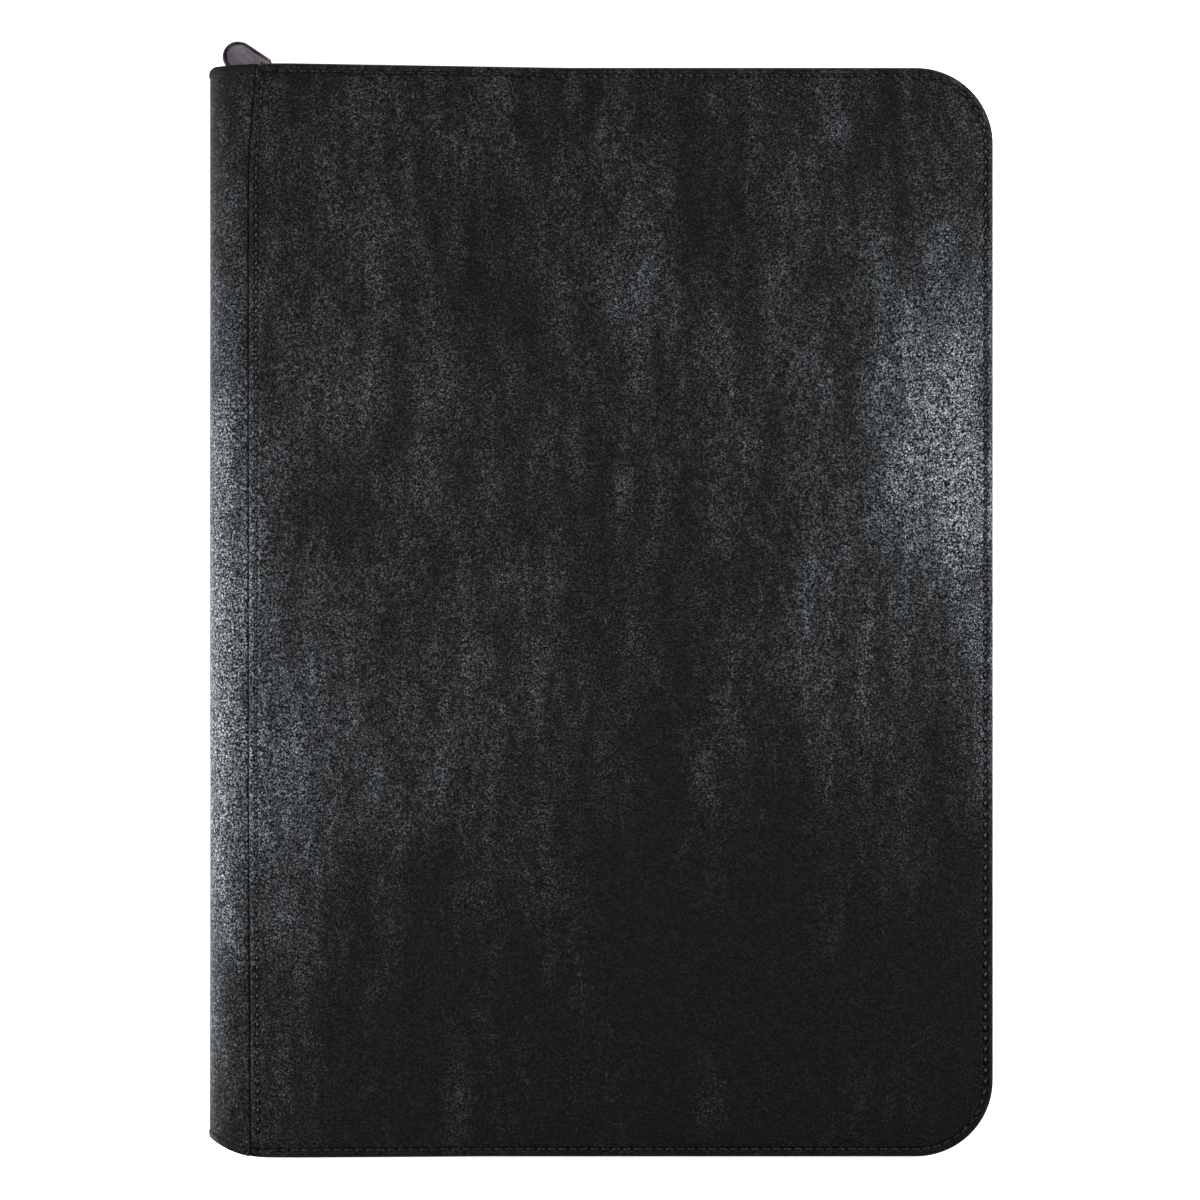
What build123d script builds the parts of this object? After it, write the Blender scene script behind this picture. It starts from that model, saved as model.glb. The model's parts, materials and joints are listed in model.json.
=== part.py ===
"""Zip-around binder for trading cards, lying closed on its back cover.

Two padded leather-covered boards are joined by a soft leather spine.  A coil zip closes the head,
fore-edge and foot.  Twenty side-loading nine-pocket leaves are sewn into a channel on the spine.
X runs from the spine (-) to the fore-edge (+), Y from foot (-) to head (+), Z from back to front.
The origin is the middle of the back panel's outer face.  All sizes are in millimetres.
"""

from build123d import *
import os

# ---- Overall sizes -------------------------------------------------------------------------------
cover_width = 255.0  # spine face to fore-edge
cover_height = 356.0  # foot to head
closed_thickness = 36.0  # outer face of the back panel to outer face of the front panel
corner_radius = 25.0  # the two fore-edge corners of each cover

# ---- Cover layers, from the outer face inwards ---------------------------------------------------
skin_thickness = 1.0  # leathercloth
foam_thickness = 1.0
board_thickness = 2.0
flange_thickness = 0.6  # zip tape, also where it is sewn between board and lining
lining_thickness = 0.6
hem_width = 4.5  # turned edge of the leathercloth, all that the edge seam goes through
hem_round = 1.6  # rounding of the turned edge
lining_inset = 1.6  # lining's edge, in from the cover's edge
flange_reach = 9.5  # how far in the sewn zip flange reaches

# ---- Spine and the seams beside it ---------------------------------------------------------------
fold_line = 12.4  # spine face to the folded edge of a cover panel
flap_reach = 20.0  # spine face to the end of the spine strip, under the panel
spine_round = 9.0  # outer rounding between the spine's side and its flaps
board_line = 13.5  # spine face to the board's edge
lining_line = 10.5  # spine face to the cover lining's edge
spine_board_thickness = 1.5
scallop = 4.5  # how far the spine's ends draw in at mid-thickness
edge_binding_width = 2.4  # bound edge at each end of the spine strip
crease_offset = 2.4  # each crease axis, in from the spine's face and from the cover's face
crease_gap = 0.3  # half the gap left in the spine strip at a crease

# ---- Thread --------------------------------------------------------------------------------------
thread_width = 0.8
thread_sink = 0.35
thread_below = 0.05  # thread lies this far under the surface
edge_seam = 2.4  # edge of the cover to the middle of its seam
fold_seam = 3.0  # folded edge of the panel to the middle of its seam

# ---- Zip -----------------------------------------------------------------------------------------
chain_inset = 8.0  # edge of the covers to the middle of the chain
chain_thickness = 2.2
chain_gap = 1.0  # between the two rows of teeth, for the slider's web
row_width = 2.5  # one row of teeth
tape_band = 5.2  # straight tape beside the chain, counted from mid-thickness
wall_inset = 0.8  # where the tape leaves the cover, in from the cover's edge
zip_start = 10.0  # spine face to the ends of the zip tape
head_tail = 33.0  # spine face to the end of the closed tail at the head, where the slider parks
foot_tail = 18.0  # spine face to the end of the closed tail at the foot
tail_gap = 0.15  # clearance around each tail's strip, on each side
stop_start = 10.6
stop_length = 2.6
stop_wall = 0.5

# ---- Slider, link and pull -----------------------------------------------------------------------
slider_at = 23.7  # spine face to the middle of the parked slider
slider_length = 11.0
slider_width = 8.8
slider_tail_width = 7.6
slider_plate = 0.9
slider_clearance = 0.3  # to the chain and to the tape
slider_lip = 1.0
slider_corner = 1.2
web_thickness = 0.6
web_length = 3.2
web_from_mouth = 0.8
bridge_length = 6.6
bridge_opening = 4.2
bridge_width = 2.0
bridge_strap = 0.9
wire = 1.3  # wire of the link
wire_clearance = 0.15  # under and over the link's wire in the bridge
link_length = 5.6
link_width = 4.8
link_corner = 1.1
link_angle = 160.0  # from +X, as the parked link points
pull_angle = 146.0  # from +X, as the pull points
pull_tilt = 22.0  # the pull's turn about its own length, as it hangs on the link
pull_reach = 12.3  # eyelet to the middle of the round end
pull_half_width = 4.4  # also the radius of the round end
pull_shoulder = 2.6  # eyelet to the start of the straight sides
pull_neck = 2.2  # radius around the eyelet
pull_thickness = 2.0
pull_edge = 0.35  # rounding of the pull's edges
pull_recess = 0.35
pull_rim = 0.8
eyelet = 1.25  # radius of the hole

# ---- Leaves and their binding --------------------------------------------------------------------
leaf_count = 20
leaf_pitch = 0.9
backing_thickness = 0.3
film_thickness = 0.12
film_start = 29.5  # spine face to the first column of pockets
leaf_end_margin = 26.0  # head and foot of the covers to the ends of the leaves
leaf_edge_margin = 15.0  # fore-edge of the covers to the leaves' fore-edge
leaf_stagger = 0.62  # each hinge line inwards stands this much further out
nearest_hinge = 15.0  # spine face to the outermost leaves' hinge lines
hinge_gap = 0.15  # half the gap at a leaf's hinge line
pocket_columns = 3
column_slit = 0.6
film_margin = 2.0
root_pitch = 0.35
root_start = 3.9
root_length = 5.1
strip_thickness = 1.0
strip_margin = 2.0  # strips are this much shorter than the leaves, at each end
channel_wall = 0.8
channel_leg = 4.9
gusset_reach = 14.0
gusset_thickness = 0.6
gusset_inset = 9.9  # edge of the covers to the outer face of the end gusset
gusset_margin = 9.5  # outer faces to the gusset's long edges
spine_lining_margin = 9.0
spine_board_margin = 10.5
spine_end_margin = 12.0

# ---- Places worked out from the sizes ------------------------------------------------------------
middle = closed_thickness / 2
half_width = cover_width / 2
half_height = cover_height / 2
hem_depth = skin_thickness + foam_thickness + board_thickness
flange_depth = hem_depth + flange_thickness
leaf_height = cover_height - 2 * leaf_end_margin
leaf_edge = cover_width - leaf_edge_margin  # spine face to the leaves' fore-edge
column_pitch = (leaf_edge - film_margin - film_start) / pocket_columns
lining_depth = flange_depth + lining_thickness
chain_y = half_height - chain_inset
row_top = chain_gap / 2 + row_width
strip_top = closed_thickness - skin_thickness  # outer face of the spine strip's front flap
spine_inner = skin_thickness + spine_board_thickness + lining_thickness
front = Plane.XY.offset(middle)


def across(distance):
    """X of a point that far from the spine's outer face."""
    return distance - half_width


def block(x, y, z):
    """A box given by its low and high X, Y and Z."""
    size = [high - low for low, high in (x, y, z)]
    centre = [(high + low) / 2 for low, high in (x, y, z)]
    return Pos(*centre) * Box(*size)


def panel(left, inset):
    """Outline of a cover layer: straight at the spine, rounded at both fore-edge corners."""
    low, high = across(left), half_width - inset
    sheet = Pos((low + high) / 2, 0) * Rectangle(high - low, 2 * (half_height - inset))
    return fillet(sheet.vertices().group_by(Axis.X)[-1], corner_radius - inset)


def layer(outline, outer, inner):
    """An outline as a layer of the front cover, between two depths below its outer face."""
    return extrude(Plane.XY.offset(closed_thickness - inner) * outline, amount=inner - outer)


def to_back(shape):
    """The same piece of the back cover."""
    return mirror(shape, about=front)


def edge_band(left, inset):
    """The seam's track along head, fore-edge and foot."""
    half = thread_width / 2
    return panel(left, inset - half) - panel(left - 1, inset + half)


def fold_band():
    """The seam's track beside the folded edge."""
    length = 2 * (half_height - edge_seam)
    return Pos(across(fold_line + fold_seam), 0) * Rectangle(thread_width, length)


# ---- Covers --------------------------------------------------------------------------------------
edge_seam_start = fold_line + fold_seam + thread_width


def cover_skin():
    """Leathercloth panel with its turned edge on three sides."""
    outline = panel(fold_line, 0)
    skin = layer(outline, 0, skin_thickness)
    skin += layer(outline - panel(fold_line - 1, hem_width), skin_thickness, hem_depth)
    rim = skin.edges().group_by(Axis.Z)[-1].sort_by(Axis.X)[1:]
    skin = fillet(rim, hem_round)
    skin -= layer(edge_band(edge_seam_start, edge_seam), 0, thread_sink)
    return skin - layer(fold_band(), 0, thread_sink)


def cover_foam():
    return layer(panel(flap_reach, hem_width), skin_thickness, skin_thickness + foam_thickness)


def cover_board():
    return layer(panel(board_line, hem_width), skin_thickness + foam_thickness, hem_depth)


def cover_lining():
    """Lining, thicker inside the zip flange so that it lies on the board."""
    lining = layer(panel(lining_line, lining_inset), flange_depth, lining_depth)
    lining += layer(panel(lining_line, flange_reach), hem_depth, flange_depth)
    return lining - layer(edge_band(edge_seam_start, edge_seam), lining_depth - thread_sink, lining_depth)


def edge_thread():
    """Needle thread on the panel and bobbin thread on the lining."""
    track = edge_band(edge_seam_start, edge_seam)
    needle = layer(track, thread_below, thread_sink)
    bobbin = layer(track, lining_depth - thread_sink, lining_depth - thread_below)
    return Compound([needle, bobbin])


def fold_thread():
    return layer(fold_band(), thread_below, thread_sink)


# ---- Spine strip ---------------------------------------------------------------------------------
strip_centre = (across(spine_round), strip_top - spine_round)


def strip_corner(inwards):
    """Half of the strip's rounded front corner: the spine's half, or the cover's half."""
    ring = Circle(spine_round) - Circle(spine_round - skin_thickness)
    turn = 90 if inwards else 135
    wedge = Rot(0, 0, turn) * Polygon(
        (0, 0), (2 * spine_round, 0), (2 * spine_round, 2 * spine_round), align=None
    )
    cut = Rot(0, 0, 135) * Rectangle(4 * spine_round, 2 * crease_gap)
    return Pos(*strip_centre) * (ring & wedge - cut)


def end_cutters(shift):
    """Cylinders that draw in the head and foot ends of the strip."""
    radius = (middle**2 + scallop**2) / (2 * scallop)
    away = half_height + radius - scallop - shift
    rod = Rot(0, 90, 0) * Cylinder(radius, 4 * flap_reach)
    return [Pos(across(0), side * away, middle) * rod for side in (1, -1)]


def along_y(section, half_length):
    return extrude(Plane.XZ * section, amount=half_length, both=True)


def spine_wrap():
    """The strip's whole stretch on the spine, before its ends are bound."""
    side = Pos(across(skin_thickness / 2), middle) * Rectangle(
        skin_thickness, 2 * (strip_centre[1] - middle)
    )
    corner = strip_corner(False)
    section = side + corner + mirror(Pos(0, -middle) * corner, about=Plane.XZ).moved(Pos(0, middle))
    return along_y(section, half_height)


def spine_skin():
    return spine_wrap() - end_cutters(edge_binding_width)


def edge_binding(index):
    """Binding over the strip's edge, at the head (0) or the foot (1)."""
    return (spine_wrap() & end_cutters(edge_binding_width)[index]) - end_cutters(0)[index]


def joint_skin():
    """The strip's stretch on the front cover: the crease, the bare band and the flap underneath."""
    low, high = across(spine_round), across(fold_line)
    bare = Pos((low + high) / 2, strip_top - skin_thickness / 2) * Rectangle(high - low, skin_thickness)
    skin = along_y(bare + strip_corner(True), half_height)
    flap_end = half_height - hem_width
    skin += block(
        (high, across(flap_reach)), (-flap_end, flap_end), (strip_top - skin_thickness, strip_top)
    )
    return skin - end_cutters(0)


def spine_layer(outer, thickness, margin, half_length):
    """A flat layer inside the spine."""
    return block(
        (across(outer), across(outer + thickness)),
        (-half_length, half_length),
        (margin, closed_thickness - margin),
    )


def end_gusset(side):
    """Cloth that closes the spine's end, behind the ends of the zip."""
    outer = half_height - gusset_inset
    plate = block(
        (across(skin_thickness), across(gusset_reach)),
        (outer - gusset_thickness, outer),
        (gusset_margin, closed_thickness - gusset_margin),
    )
    return plate if side > 0 else mirror(plate, about=Plane.XZ)


# ---- Zip -----------------------------------------------------------------------------------------
def around(points):
    """Sweeps a section along head, fore-edge and foot.  Points are (inset, height over middle)."""
    right = half_width - chain_inset
    path = FilletPolyline(
        (across(zip_start), chain_y, middle),
        (right, chain_y, middle),
        (right, -chain_y, middle),
        (across(zip_start), -chain_y, middle),
        radius=corner_radius - chain_inset,
    )
    corners = [(across(zip_start), half_height - inset, middle + up) for inset, up in points]
    return sweep(make_face(Polyline(*corners, close=True)), path=path)


def tape_and_teeth():
    """The front half of the zip: tape with its sewn flange, and its row of teeth."""
    flange_top = closed_thickness - hem_depth - middle
    flange_base = flange_top - flange_thickness
    bend = flange_base - lining_thickness
    near, far = chain_inset - flange_thickness / 2, chain_inset + flange_thickness / 2
    tape = around(
        [
            (flange_reach, flange_top),
            (wall_inset, flange_top),
            (wall_inset, bend),
            (near, tape_band),
            (near, row_top),
            (far, row_top),
            (far, tape_band),
            (wall_inset + flange_thickness, bend),
            (wall_inset + flange_thickness, flange_base),
            (flange_reach, flange_base),
        ]
    )
    near, far = chain_inset - chain_thickness / 2, chain_inset + chain_thickness / 2
    low = chain_gap / 2
    teeth = around([(near, low), (near, row_top), (far, row_top), (far, low)])
    return tape, teeth


def tail_zone(side, end, grow):
    """Room for a tail's strip: the front half of the chain near the spine, which stays closed."""
    y = (chain_y - chain_thickness, chain_y + chain_thickness)
    y = y if side > 0 else (-y[1], -y[0])
    x = (across(zip_start) - 1, across(end) + grow)
    return block(x, y, (middle, middle + tape_band + grow))


def tail_strip(tape, teeth, side, end):
    zone = tail_zone(side, end, -tail_gap)
    return Compound([tape & zone, teeth & zone])


def chain_stop(side):
    """Crimped stop that clasps both rows of teeth."""
    half = chain_thickness / 2
    x = (across(stop_start), across(stop_start + stop_length))
    z = (middle - row_top, middle + row_top)
    y = side * chain_y
    stop = block(x, (y - half - stop_wall, y + half + stop_wall), z)
    for up in (1, -1):
        row = sorted((middle + up * chain_gap / 2, middle + up * (row_top + 1)))
        stop -= block((x[0] - 1, x[1] + 1), (y - half, y + half), row)
    return stop


# ---- Slider, link and pull -----------------------------------------------------------------------
channel_half = chain_thickness / 2 + slider_clearance
plate_face = chain_y + channel_half + slider_plate
pivot_y = plate_face + wire_clearance + wire / 2
pivot = Pos(across(slider_at), pivot_y, middle)
eyelet_place = pivot * Rot(0, 0, link_angle) * Pos(link_length, 0, 0)


def slider_body():
    """Two plates with lips, joined by a web that runs between the rows of teeth."""
    mouth, tail = -slider_length / 2, slider_length / 2
    outline = Polygon(
        (mouth, -slider_width / 2),
        (tail, -slider_tail_width / 2),
        (tail, slider_tail_width / 2),
        (mouth, slider_width / 2),
        align=None,
    )
    outline = fillet(outline.vertices(), slider_corner)
    thickness = channel_half + slider_plate
    body = extrude(Plane.XZ * outline, amount=thickness, both=True)
    inside = 2 * (row_top + slider_clearance)
    body -= Box(2 * slider_length, 2 * channel_half, inside)
    slot = flange_thickness + 2 * slider_clearance
    body -= Box(2 * slider_length, slot, 2 * slider_width)
    web = Box(web_length, 2 * channel_half, web_thickness)
    body += Pos(mouth + web_from_mouth + web_length / 2, 0, 0) * web
    return Pos(across(slider_at), chain_y, middle) * body


def slider_bridge():
    """Arch over the link's wire, standing on the slider's outer plate."""
    inner_height = wire + 2 * wire_clearance
    height = inner_height + bridge_strap
    arch = Pos(0, height / 2) * Rectangle(bridge_length, height)
    arch = fillet(arch.vertices().group_by(Axis.Y)[-1], height * 0.7)
    hole = Pos(0, inner_height / 2) * Rectangle(bridge_opening, inner_height)
    arch -= fillet(hole.vertices().group_by(Axis.Y)[-1], inner_height * 0.6)
    solid = extrude(arch, amount=bridge_width / 2, both=True)
    return Pos(across(slider_at), plate_face, middle) * solid


def pull_link():
    """Rounded wire loop: one bar turns in the bridge, the other carries the pull."""
    outline = Plane.XZ * RectangleRounded(link_length, link_width, link_corner)
    section = Plane((0, 0, link_width / 2), x_dir=(0, 1, 0), z_dir=(1, 0, 0)) * Circle(wire / 2)
    loop = sweep(section, path=outline.wire())
    return pivot * Rot(0, 0, link_angle) * Pos(link_length / 2, 0, 0) * loop


def tongue(circles, inset):
    """Outline around circles given by X, Y and radius, drawn in by an inset."""
    rounds = []
    for x, y, radius in circles:
        rounds += (Pos(x, y) * Circle(radius - inset)).edges()
    return make_hull(rounds)


def pull_tab():
    """Flat tongue, dished on both faces, with an eyelet for the link."""
    shoulder = pull_half_width / 2
    end = (pull_reach, 0, pull_half_width)
    shoulders = [(pull_shoulder, side * shoulder, shoulder) for side in (1, -1)]
    outline = tongue([(0, 0, pull_neck), *shoulders, end], 0)
    tab = extrude(outline, amount=pull_thickness / 2, both=True)
    faces = tab.faces().filter_by(Axis.Z)
    tab = fillet(faces.edges(), pull_edge)
    low = [(x + pull_neck, y, radius) for x, y, radius in shoulders]
    dish = extrude(tongue([*low, end], pull_rim), amount=pull_recess)
    for side in (1, -1):
        floor = side * (pull_thickness / 2 - pull_recess / 2) - pull_recess / 2
        tab -= Pos(0, 0, floor) * dish
    tab -= Cylinder(eyelet, 2 * pull_thickness)
    return eyelet_place * Rot(0, 0, pull_angle - link_angle) * Rot(pull_tilt, 0, 0) * tab


# ---- Leaves and their binding --------------------------------------------------------------------
def hinge_line(k):
    """X and Z of the hinge line of leaf k, counted from 0 at the back."""
    tier = min(k, leaf_count - 1 - k)
    return across(nearest_hinge + leaf_stagger * tier), middle + leaf_pitch * (k - (leaf_count - 1) / 2)


def leaf(k):
    """Opaque backing with strips of clear pocket film, laid flat, on both faces."""
    x, z = hinge_line(k)
    half = leaf_height / 2
    backing = (z - backing_thickness / 2, z + backing_thickness / 2)
    solids = [block((x + hinge_gap, across(leaf_edge)), (-half, half), backing)]
    for column in range(pocket_columns):
        start = across(film_start + column * column_pitch)
        ends = (start, start + column_pitch - column_slit)
        y = (film_margin - half, half - film_margin)
        solids.append(block(ends, y, (backing[1], backing[1] + film_thickness)))
        solids.append(block(ends, y, (backing[0] - film_thickness, backing[0])))
    return Compound(solids)


def leaf_roots():
    """The inner margins of the leaves, gathered and sewn, up to each hinge line."""
    roots = []
    root_end = across(root_start + root_length)
    for k in range(leaf_count):
        x, z = hinge_line(k)
        base = middle + root_pitch * (k - (leaf_count - 1) / 2)
        low, high = base - root_pitch / 2, base + root_pitch / 2
        lip = backing_thickness / 2
        section = Polygon(
            (across(root_start), low),
            (root_end, low),
            (x - hinge_gap, z - lip),
            (x - hinge_gap, z + lip),
            (root_end, high),
            (across(root_start), high),
            align=None,
        )
        roots.append(along_y(section, leaf_height / 2))
    return Compound(roots)


gathered = leaf_count * root_pitch / 2  # half the thickness of the gathered margins
channel_face = gathered + strip_thickness + channel_wall


def binding_strip(side):
    """Stiff strip on one face of the gathered margins."""
    half = leaf_height / 2 - strip_margin
    z = sorted(middle + side * height for height in (gathered, gathered + strip_thickness))
    return block((across(root_start), across(root_start + root_length)), (-half, half), z)


def binding_channel():
    """Channel fixed to the spine's lining; the gathered margins are sewn into it."""
    half = leaf_height / 2 - strip_margin
    outer = block(
        (across(spine_inner), across(spine_inner + channel_leg)),
        (-half, half),
        (middle - channel_face, middle + channel_face),
    )
    room = gathered + strip_thickness
    return outer - block(
        (across(spine_inner + channel_wall), across(spine_inner + channel_leg) + 1),
        (-half - 1, half + 1),
        (middle - room, middle + room),
    )


def binding_thread():
    """Seam through channel, strips and margins, seen on both legs of the channel."""
    half = leaf_height / 2 - 2 * strip_margin
    x = across(spine_inner + (channel_leg + channel_wall) / 2)
    beads = []
    for side in (1, -1):
        z = sorted(middle + side * height for height in (channel_face, channel_face + thread_sink))
        beads.append(block((x - thread_width / 2, x + thread_width / 2), (-half, half), z))
    return Compound(beads)


# ---- The whole binder ----------------------------------------------------------------------------
def build():
    """Every node's shape, by name."""
    nodes = {}
    for name, make in {
        "skin": cover_skin,
        "foam": cover_foam,
        "board": cover_board,
        "lining": cover_lining,
        "edge_thread": edge_thread,
        "fold_thread": fold_thread,
        "joint_skin": joint_skin,
    }.items():
        shape = make()
        nodes["front_" + name] = shape
        nodes["back_" + name] = to_back(shape)

    tape, teeth = tape_and_teeth()
    nodes["back_zip_tape"] = to_back(tape)
    nodes["back_zip_teeth"] = to_back(teeth)
    nodes["zip_head_tail"] = tail_strip(tape, teeth, 1, head_tail)
    nodes["zip_foot_tail"] = tail_strip(tape, teeth, -1, foot_tail)
    zones = [tail_zone(1, head_tail, tail_gap), tail_zone(-1, foot_tail, tail_gap)]
    nodes["front_zip_tape"] = tape - zones
    nodes["front_zip_teeth"] = teeth - zones
    nodes["head_stop"] = chain_stop(1)
    nodes["foot_stop"] = chain_stop(-1)

    end = half_height - spine_end_margin
    nodes["spine_skin"] = spine_skin()
    nodes["spine_board"] = spine_layer(skin_thickness, spine_board_thickness, spine_board_margin, end)
    lining_start = skin_thickness + spine_board_thickness
    nodes["spine_lining"] = spine_layer(lining_start, lining_thickness, spine_lining_margin, end)
    nodes["head_edge_binding"] = edge_binding(0)
    nodes["foot_edge_binding"] = edge_binding(1)
    nodes["head_gusset"] = end_gusset(1)
    nodes["foot_gusset"] = end_gusset(-1)

    nodes["binding_channel"] = binding_channel()
    nodes["upper_binding_strip"] = binding_strip(1)
    nodes["lower_binding_strip"] = binding_strip(-1)
    nodes["binding_thread"] = binding_thread()
    nodes["leaf_roots"] = leaf_roots()
    for k in range(leaf_count):
        nodes[f"leaf_{k + 1:02d}"] = leaf(k)

    nodes["slider_body"] = slider_body()
    nodes["slider_bridge"] = slider_bridge()
    nodes["pull_link"] = pull_link()
    nodes["pull_tab"] = pull_tab()
    return nodes


os.makedirs("parts", exist_ok=True)
for name, shape in build().items():
    export_step(shape, f"parts/{name}.step")
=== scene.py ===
"""Looks of a zip-around binder for trading cards, lying closed on its back cover."""
import itertools
import json
import math

import bmesh
import bpy
import numpy as np
from mathutils import Matrix, Vector


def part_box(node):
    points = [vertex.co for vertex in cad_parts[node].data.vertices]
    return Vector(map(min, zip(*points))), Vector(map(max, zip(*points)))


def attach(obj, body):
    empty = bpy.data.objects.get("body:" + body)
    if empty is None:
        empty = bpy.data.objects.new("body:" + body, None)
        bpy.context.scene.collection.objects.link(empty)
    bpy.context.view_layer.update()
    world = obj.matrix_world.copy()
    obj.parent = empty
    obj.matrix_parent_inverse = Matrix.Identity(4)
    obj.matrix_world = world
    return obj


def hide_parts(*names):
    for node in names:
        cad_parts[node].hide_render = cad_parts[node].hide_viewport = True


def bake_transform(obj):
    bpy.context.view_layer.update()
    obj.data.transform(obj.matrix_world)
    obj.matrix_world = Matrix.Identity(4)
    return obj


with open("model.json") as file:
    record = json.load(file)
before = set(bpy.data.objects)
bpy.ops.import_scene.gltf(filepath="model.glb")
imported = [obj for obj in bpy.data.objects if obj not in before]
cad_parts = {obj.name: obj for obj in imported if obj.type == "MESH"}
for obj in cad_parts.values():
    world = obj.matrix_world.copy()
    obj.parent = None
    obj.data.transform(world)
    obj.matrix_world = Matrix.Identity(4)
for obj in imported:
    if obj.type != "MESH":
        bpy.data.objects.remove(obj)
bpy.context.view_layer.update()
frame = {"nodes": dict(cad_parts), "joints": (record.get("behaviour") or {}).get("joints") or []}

MM = 0.001

# ---- Places taken from the frame -----------------------------------------------------------------
panel_low, panel_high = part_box("front_skin")
fold_x, edge_x, end_y, top_z = panel_low.x, panel_high.x, panel_high.y, panel_high.z
spine_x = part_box("spine_skin")[0].x
mid_z = top_z / 2
lining_low, lining_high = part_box("front_lining")
flap_end_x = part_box("front_joint_skin")[1].x
strip_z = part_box("front_joint_skin")[1].z
zip_start_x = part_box("back_zip_teeth")[0].x
head_tail_low, head_tail_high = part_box("zip_head_tail")
chain_inset = end_y - (head_tail_low.y + head_tail_high.y) / 2
head_tail_x = head_tail_high.x
foot_tail_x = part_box("zip_foot_tail")[1].x

# ---- Sizes of the cover, in metres ---------------------------------------------------------------
CORNER = 25 * MM
SKIN = 1.0 * MM
HEM_DEPTH = top_z - panel_low.z
HEM_WIDTH = 4.5 * MM
EDGE_SEAM = 2.5 * MM  # from the open edges to their seam
FOLD_SEAM = 2.4 * MM  # from the fold to its seam
FOLD_SEAM_END = 3.6 * MM  # the fold seam stops this far from the cover's ends
EDGE_SHADE, FOLD_SHADE = 0.6 * MM, 0.55 * MM  # how far the shade of each seam spreads
STITCH = 3.5 * MM
FOLD_STITCH = 3.1 * MM
SPINE_ROUND = 9 * MM
STRIP_UNDER = 3.6 * MM  # past this distance from the fold the strip is narrowed to lie inside the hem
TUCK_START, TUCK_RUN, TUCK_DEPTH = 0.7 * MM, 0.8 * MM, 0.6 * MM  # the strip dips under the cover


# ---- Colours and nodes ---------------------------------------------------------------------------
def colour(code, alpha=1.0):
    """A linear colour from an sRGB hex code."""
    parts = [int(code[i : i + 2], 16) / 255 for i in (1, 3, 5)]
    linear = [p / 12.92 if p <= 0.04045 else ((p + 0.055) / 1.055) ** 2.4 for p in parts]
    return (*linear, alpha)


def add(tree, kind, inputs=None, **settings):
    """Adds a node.  Inputs, by name or number, are values or sockets to link from."""
    made = tree.nodes.new(kind)
    for name, value in settings.items():
        setattr(made, name, value)
    for key, value in (inputs or {}).items():
        if isinstance(value, bpy.types.NodeSocket):
            tree.links.new(value, made.inputs[key])
        else:
            made.inputs[key].default_value = value
    return made


def ramp(tree, factor, stops):
    """A colour ramp through (position, colour) stops."""
    made = add(tree, "ShaderNodeValToRGB", {"Fac": factor})
    elements = made.color_ramp.elements
    while len(elements) < len(stops):
        elements.new(0.5)
    for element, (position, shade) in zip(elements, stops):
        element.position = position
        element.color = shade
    return made.outputs["Color"]


def material(name):
    """A new material with its shader and its output."""
    made = bpy.data.materials.new(name)
    made.use_nodes = True
    tree = made.node_tree
    tree.nodes.clear()
    shader = add(tree, "ShaderNodeBsdfPrincipled")
    add(tree, "ShaderNodeOutputMaterial", {"Surface": shader.outputs["BSDF"]})
    return made, tree, shader


def place(tree, attribute=None):
    """Object coordinates, or a vector attribute."""
    if attribute:
        return add(tree, "ShaderNodeAttribute", attribute_name=attribute).outputs["Vector"]
    return add(tree, "ShaderNodeTexCoord").outputs["Object"]


def stretched(tree, vector, scale):
    """Coordinates scaled per axis, so that a pattern runs long or short."""
    return add(tree, "ShaderNodeMapping", {"Vector": vector, "Scale": scale}).outputs["Vector"]


def math_node(tree, operation, *values):
    """The result of a sum on values or sockets."""
    return add(tree, "ShaderNodeMath", dict(enumerate(values)), operation=operation).outputs[0]


# ---- Materials -----------------------------------------------------------------------------------
REST = "rest_place"
SHADE_ATTRIBUTE = "painted_shade"
CLOTH = "cloth_place"
# Paler patches of the covers, partly rubbed wear and partly painted sheen where the lamps glance
# off the spine's round and near the fore-edge: middle x and y, half width and half height in mm, and
# strength.
RUBBED_AND_SHEEN_PATCHES = [
    (-82, 69, 13, 32, 0.6),
    (-60, 38, 9, 22, 0.75),
    (-66, 160, 16, 20, 0.5),
    (12, 104, 9, 22, 0.55),
    (60, 96, 22, 60, 0.35),
    (97, 122, 16, 26, 0.5),
    (110, 62, 20, 46, 1.5),
    (124, 50, 14, 90, 1.6),
    (90, 10, 24, 80, 0.5),
    (-42, -12, 22, 50, 0.25),
    (-18, -84, 14, 30, 0.2),
    (-100, -30, 26, 80, 0.75),
    (-98, -70, 16, 50, 0.3),
    (-119, -35, 15, 175, 1.45),
    (-126, -20, 8, 200, 0.9),
]
# Painted shade: patches darkened where the lamps reach less, mostly towards the foot, given the same way.
SHADE_PATCHES = [
    (30, -150, 150, 70, 1.5),
    (60, -80, 80, 60, 0.9),
    (5, -20, 34, 90, 0.35),
    (-25, 120, 26, 60, 0.3),
    (-121, 168, 12, 26, 0.4),
]


def patches(tree, at, spots):
    """Sum of soft elliptical spots laid on the cover."""
    total = None
    for x, y, half_width, half_height, strength in spots:
        scale = (1 / (half_width * MM), 1 / (half_height * MM), 0)
        shift = (-x / half_width, -y / half_height, 0)
        local = add(tree, "ShaderNodeMapping", {"Vector": at, "Scale": scale, "Location": shift})
        away = add(tree, "ShaderNodeVectorMath", {0: local.outputs["Vector"]}, operation="LENGTH")
        fade = add(
            tree,
            "ShaderNodeMapRange",
            {"Value": away.outputs["Value"], "From Min": 1.5, "From Max": 0.1, "To Max": strength},
            interpolation_type="SMOOTHSTEP",
        ).outputs["Result"]
        total = fade if total is None else math_node(tree, "ADD", total, fade)
    return total


def noise(tree, at, scale, detail=3.0, roughness=0.55, distortion=0.0):
    """Cloudy noise from 0 to 1, at a scale in turns per metre."""
    inputs = {
        "Vector": at,
        "Scale": scale,
        "Detail": detail,
        "Roughness": roughness,
        "Distortion": distortion,
    }
    return add(tree, "ShaderNodeTexNoise", inputs).outputs["Fac"]


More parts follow.
